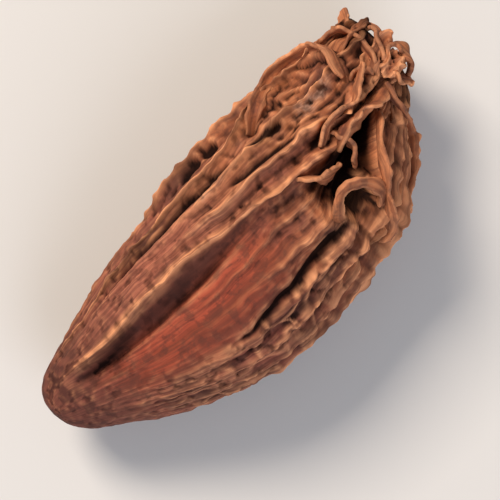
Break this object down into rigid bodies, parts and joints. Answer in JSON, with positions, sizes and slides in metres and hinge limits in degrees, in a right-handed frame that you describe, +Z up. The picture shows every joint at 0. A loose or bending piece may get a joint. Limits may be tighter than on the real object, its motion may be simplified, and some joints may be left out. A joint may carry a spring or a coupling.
{
  "type": "black cardamom pod",
  "caption": "Dried black cardamom pod: a wrinkled, ribbed seed capsule with thin wings, a sunken panel, a split and a frayed crown.",
  "frame": {"origin": "on the surface that the pod rests on, under the middle of its outline", "axes": "+X from the stalk end to the frayed crown, +Y across the pod, +Z up, away from the surface"},
  "size_m": [0.0312, 0.0138, 0.0111],
  "materials": {
    "husk": "matt, fibrous dried husk: brown, with tan wing edges and dark furrows"
  },
  "bodies": {
    "root": {"pod": "husk"}
  },
  "joints": []
}
